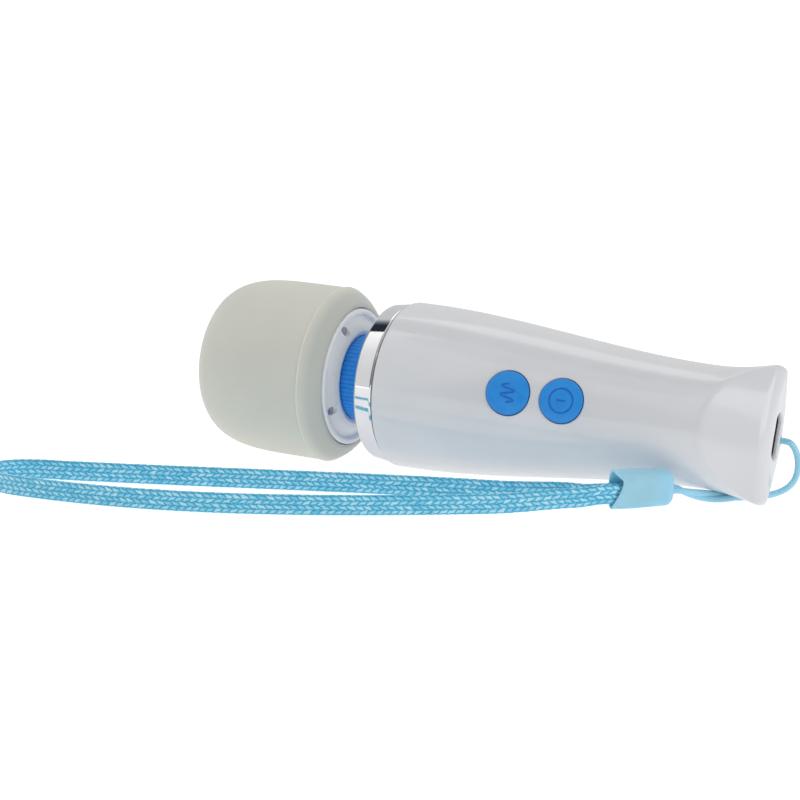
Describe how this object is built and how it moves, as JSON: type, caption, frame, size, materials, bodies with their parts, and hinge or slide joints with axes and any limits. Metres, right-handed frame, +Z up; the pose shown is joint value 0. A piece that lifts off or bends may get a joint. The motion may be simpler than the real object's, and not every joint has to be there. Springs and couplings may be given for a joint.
{
  "type": "handheld wand massager",
  "caption": "Pocket wand massager with a soft cushioned head on a flexible ribbed neck, a tapered rechargeable handle with push buttons, and a braided wrist strap on a thin cord.",
  "frame": {"origin": "on the wand's own axis at the middle of the head cushion's straight band; the floor that the wand rests on is 19.95 mm below", "axes": "+Z up from the floor; +X from the head towards the tail (the wand's own axis drops 3 degrees towards the tail); -Y is the side that the buttons face (they are rolled up 16 degrees)"},
  "size_m": [0.1621, 0.0835, 0.0398],
  "materials": {
    "gloss_white": "polished moulded ABS",
    "satin_white": "satin moulded ABS",
    "chrome": "bright plated trim",
    "board_green": "solder mask on glass laminate",
    "steel": "nickel-plated",
    "black_plastic": "moulded",
    "ivory_plastic": "moulded",
    "cell_wrap": "shrink wrap",
    "foam": "closed-cell foam",
    "wire_red": "PVC insulation",
    "wire_black": "PVC insulation",
    "wire_orange": "PVC insulation",
    "button_blue": "satin moulded",
    "neck_blue": "ribbed silicone",
    "cushion_grey": "matte silicone",
    "magnet": "sintered ferrite",
    "copper": "enamelled or bare copper",
    "bronze": "sintered bronze",
    "isolator_rubber": "soft moulded rubber",
    "lamination": "stamped electrical steel",
    "weight_metal": "sintered metal",
    "cord_blue": "fine braided cord",
    "tag_blue": "translucent soft vinyl",
    "ribbon_blue": "flat tubular braid"
  },
  "bodies": {
    "handle": {"casing_front": "gloss_white", "casing_rear": "gloss_white", "chrome_ring": "chrome", "neck_seat": "satin_white", "main_board": "board_green", "board_screws": "steel", "controller_chip": "black_plastic", "charger_chip": "black_plastic", "motor_connector": "ivory_plastic", "mode_switch_base": "black_plastic", "power_switch_base": "black_plastic", "battery_cell": "cell_wrap", "cell_guard_board": "board_green", "cell_foam_pad": "foam", "battery_lead_red": "wire_red", "battery_lead_black": "wire_black", "charge_board": "board_green", "charge_leads": "wire_orange", "usb_c_port": "steel"},
    "mode_button": {"mode_button": "button_blue"},
    "power_button": {"power_button": "button_blue"},
    "mode_switch_plunger": {"mode_switch_plunger": "black_plastic"},
    "power_switch_plunger": {"power_switch_plunger": "black_plastic"},
    "neck": {"neck_sleeve": "neck_blue", "motor_leads": "wire_red"},
    "head": {"head_flange": "satin_white", "flange_screws": "steel", "head_core": "ivory_plastic", "head_cushion": "cushion_grey", "motor_can": "steel", "motor_end_cap": "black_plastic", "motor_magnets": "magnet", "motor_brushes": "copper", "motor_bushings": "bronze", "motor_isolators": "isolator_rubber"},
    "rotor": {"motor_shaft": "steel", "armature_core": "lamination", "armature_coils": "copper", "commutator": "copper", "eccentric_weight": "weight_metal"},
    "strap": {"lanyard_cord": "cord_blue", "strap_tag": "tag_blue"},
    "ribbon": {"strap_webbing": "ribbon_blue"}
  },
  "joints": [
    {"name": "neck_pitch", "type": "hinge", "parent": "handle", "child": "neck", "pos_m": [0.01348, 0, -0.00071], "axis": [-0.0144, 0.9613, -0.2753], "range_deg": [-10, 10], "stiffness_Nm_per_rad": 1.2},
    {"name": "neck_yaw", "type": "hinge", "parent": "neck", "child": "head", "pos_m": [0.01348, 0, -0.00071], "axis": [0.0503, 0.2756, 0.9599], "range_deg": [-10, 10], "stiffness_Nm_per_rad": 1.2},
    {"name": "rotor_spin", "type": "hinge", "parent": "head", "child": "rotor", "pos_m": [-0.00499, 0, 0.00026], "axis": [0.9986, 0, -0.0523], "continuous": true},
    {"name": "mode_button_press", "type": "slide", "parent": "handle", "child": "mode_button", "axis": [-0.1274, 0.9551, -0.2676], "range_m": [0, 0.0004], "stiffness_N_per_m": 60},
    {"name": "power_button_press", "type": "slide", "parent": "handle", "child": "power_button", "axis": [-0.1274, 0.9551, -0.2676], "range_m": [0, 0.0004], "stiffness_N_per_m": 60},
    {"name": "mode_plunger_press", "type": "slide", "parent": "handle", "child": "mode_switch_plunger", "axis": [-0.1274, 0.9551, -0.2676], "range_m": [0, 0.0004]},
    {"name": "power_plunger_press", "type": "slide", "parent": "handle", "child": "power_switch_plunger", "axis": [-0.1274, 0.9551, -0.2676], "range_m": [0, 0.0004]},
    {"name": "strap_swing", "type": "hinge", "parent": "handle", "child": "strap", "pos_m": [0.10415, 0.00585, -0.00765], "axis": [0.7385, -0.6579, 0.1477], "range_deg": [0, 100]},
    {"name": "ribbon_fold", "type": "hinge", "parent": "strap", "child": "ribbon", "pos_m": [0.0768, -0.0206, -0.018], "axis": [0, 0, 1], "range_deg": [-3, 50]}
  ],
  "couplings": [
    {"joint": "mode_plunger_press", "follows": "mode_button_press", "ratio": 1},
    {"joint": "power_plunger_press", "follows": "power_button_press", "ratio": 1}
  ]
}
